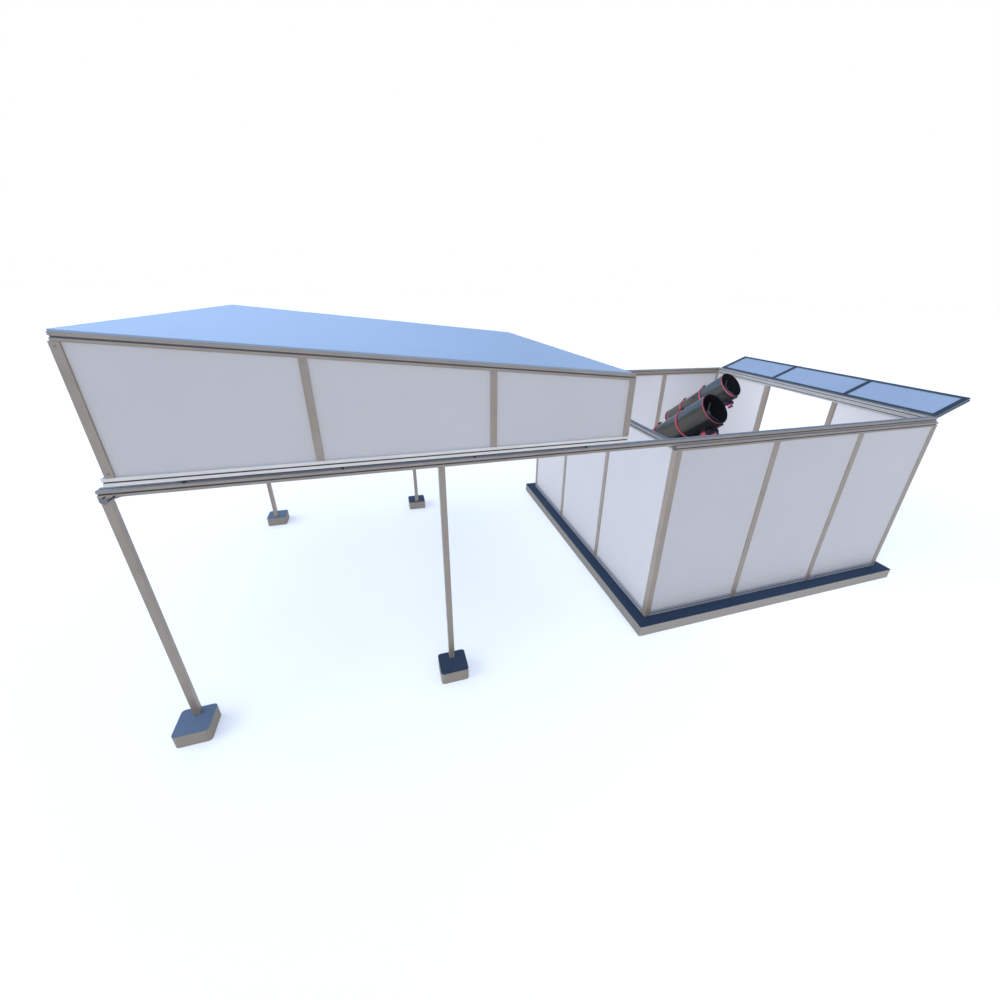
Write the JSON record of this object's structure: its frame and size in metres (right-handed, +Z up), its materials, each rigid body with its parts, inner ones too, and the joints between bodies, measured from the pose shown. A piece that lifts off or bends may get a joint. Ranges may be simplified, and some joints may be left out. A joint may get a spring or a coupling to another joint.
{
  "type": "roll-off roof observatory",
  "caption": "Small square observatory of aluminium profiles and grey panels, with a sloping roof rolled off onto an outside runway, an open end flap and twin telescopes.",
  "frame": {"origin": "on the ground, under the middle of the square room", "axes": "+Z up, X along the rails with the rolled-off roof at -X and the doorway at +X, +Y to the back"},
  "size_m": [7.5656, 3.46, 2.7828],
  "materials": {
    "concrete": "sealed concrete, matte",
    "profile": "satin anodised",
    "panel": "satin composite sheet",
    "roller": "matte black",
    "roof_sheet": "satin light blue",
    "flap_sheet": "satin blue",
    "pier": "satin grey paint",
    "mount": "black anodised",
    "tube": "satin graphite",
    "red_metal": "red anodised"
  },
  "bodies": {
    "building": {"slab": "concrete", "front_outer_foot": "concrete", "front_middle_foot": "concrete", "back_outer_foot": "concrete", "back_middle_foot": "concrete", "front_outer_post": "profile", "front_middle_post": "profile", "back_outer_post": "profile", "back_middle_post": "profile", "front_rail": "profile", "back_rail": "profile", "front_wall_frame": "profile", "back_wall_frame": "profile", "left_wall_frame": "profile", "right_wall_header": "profile", "door_post_front": "profile", "door_post_back": "profile", "front_panel_1": "panel", "front_panel_2": "panel", "front_panel_3": "panel", "back_panel_1": "panel", "back_panel_2": "panel", "back_panel_3": "panel", "left_panel_1": "panel", "left_panel_2": "panel", "left_panel_3": "panel", "right_panel_front": "panel", "right_panel_back": "panel", "east_pier": "pier", "east_mount": "mount", "west_pier": "pier", "west_mount": "mount"},
    "roof": {"roof_front_frame": "profile", "roof_back_frame": "profile", "roof_end_frame": "profile", "roof_low_beam": "profile", "roof_front_cladding": "panel", "roof_back_cladding": "panel", "roof_end_cladding": "panel", "roof_front_rollers": "roller", "roof_back_rollers": "roller", "roof_sheet": "roof_sheet"},
    "flap": {"flap_frame": "profile", "flap_sheet": "flap_sheet"},
    "east_head": {"east_declination_head": "mount"},
    "east_telescope": {"east_tube": "tube", "east_mirror_cell": "mount", "east_cradle": "red_metal", "east_focuser": "mount"},
    "west_head": {"west_declination_head": "mount"},
    "west_telescope": {"west_tube": "tube", "west_mirror_cell": "mount", "west_cradle": "red_metal", "west_focuser": "mount"}
  },
  "joints": [
    {"name": "roof_slide", "type": "slide", "parent": "building", "child": "roof", "axis": [1, 0, 0], "range_m": [0, 3.657]},
    {"name": "flap_hinge", "type": "hinge", "parent": "building", "child": "flap", "pos_m": [1.618, 0, 1.934], "axis": [0, -1, 0], "range_deg": [0, 68.7]},
    {"name": "east_right_ascension", "type": "hinge", "parent": "building", "child": "east_head", "pos_m": [0.7076, 0.50355, 1.233], "axis": [0.1744, -0.7378, 0.6521], "range_deg": [-90, 90]},
    {"name": "east_declination", "type": "hinge", "parent": "east_head", "child": "east_telescope", "pos_m": [0.7076, 0.50355, 1.233], "axis": [-0.15, 0.6346, 0.7581], "range_deg": [-90, 90]},
    {"name": "west_right_ascension", "type": "hinge", "parent": "building", "child": "west_head", "pos_m": [-0.4844, -0.56745, 1.233], "axis": [0.1744, -0.7378, 0.6521], "range_deg": [-90, 90]},
    {"name": "west_declination", "type": "hinge", "parent": "west_head", "child": "west_telescope", "pos_m": [-0.4844, -0.56745, 1.233], "axis": [-0.15, 0.6346, 0.7581], "range_deg": [-90, 90]}
  ]
}
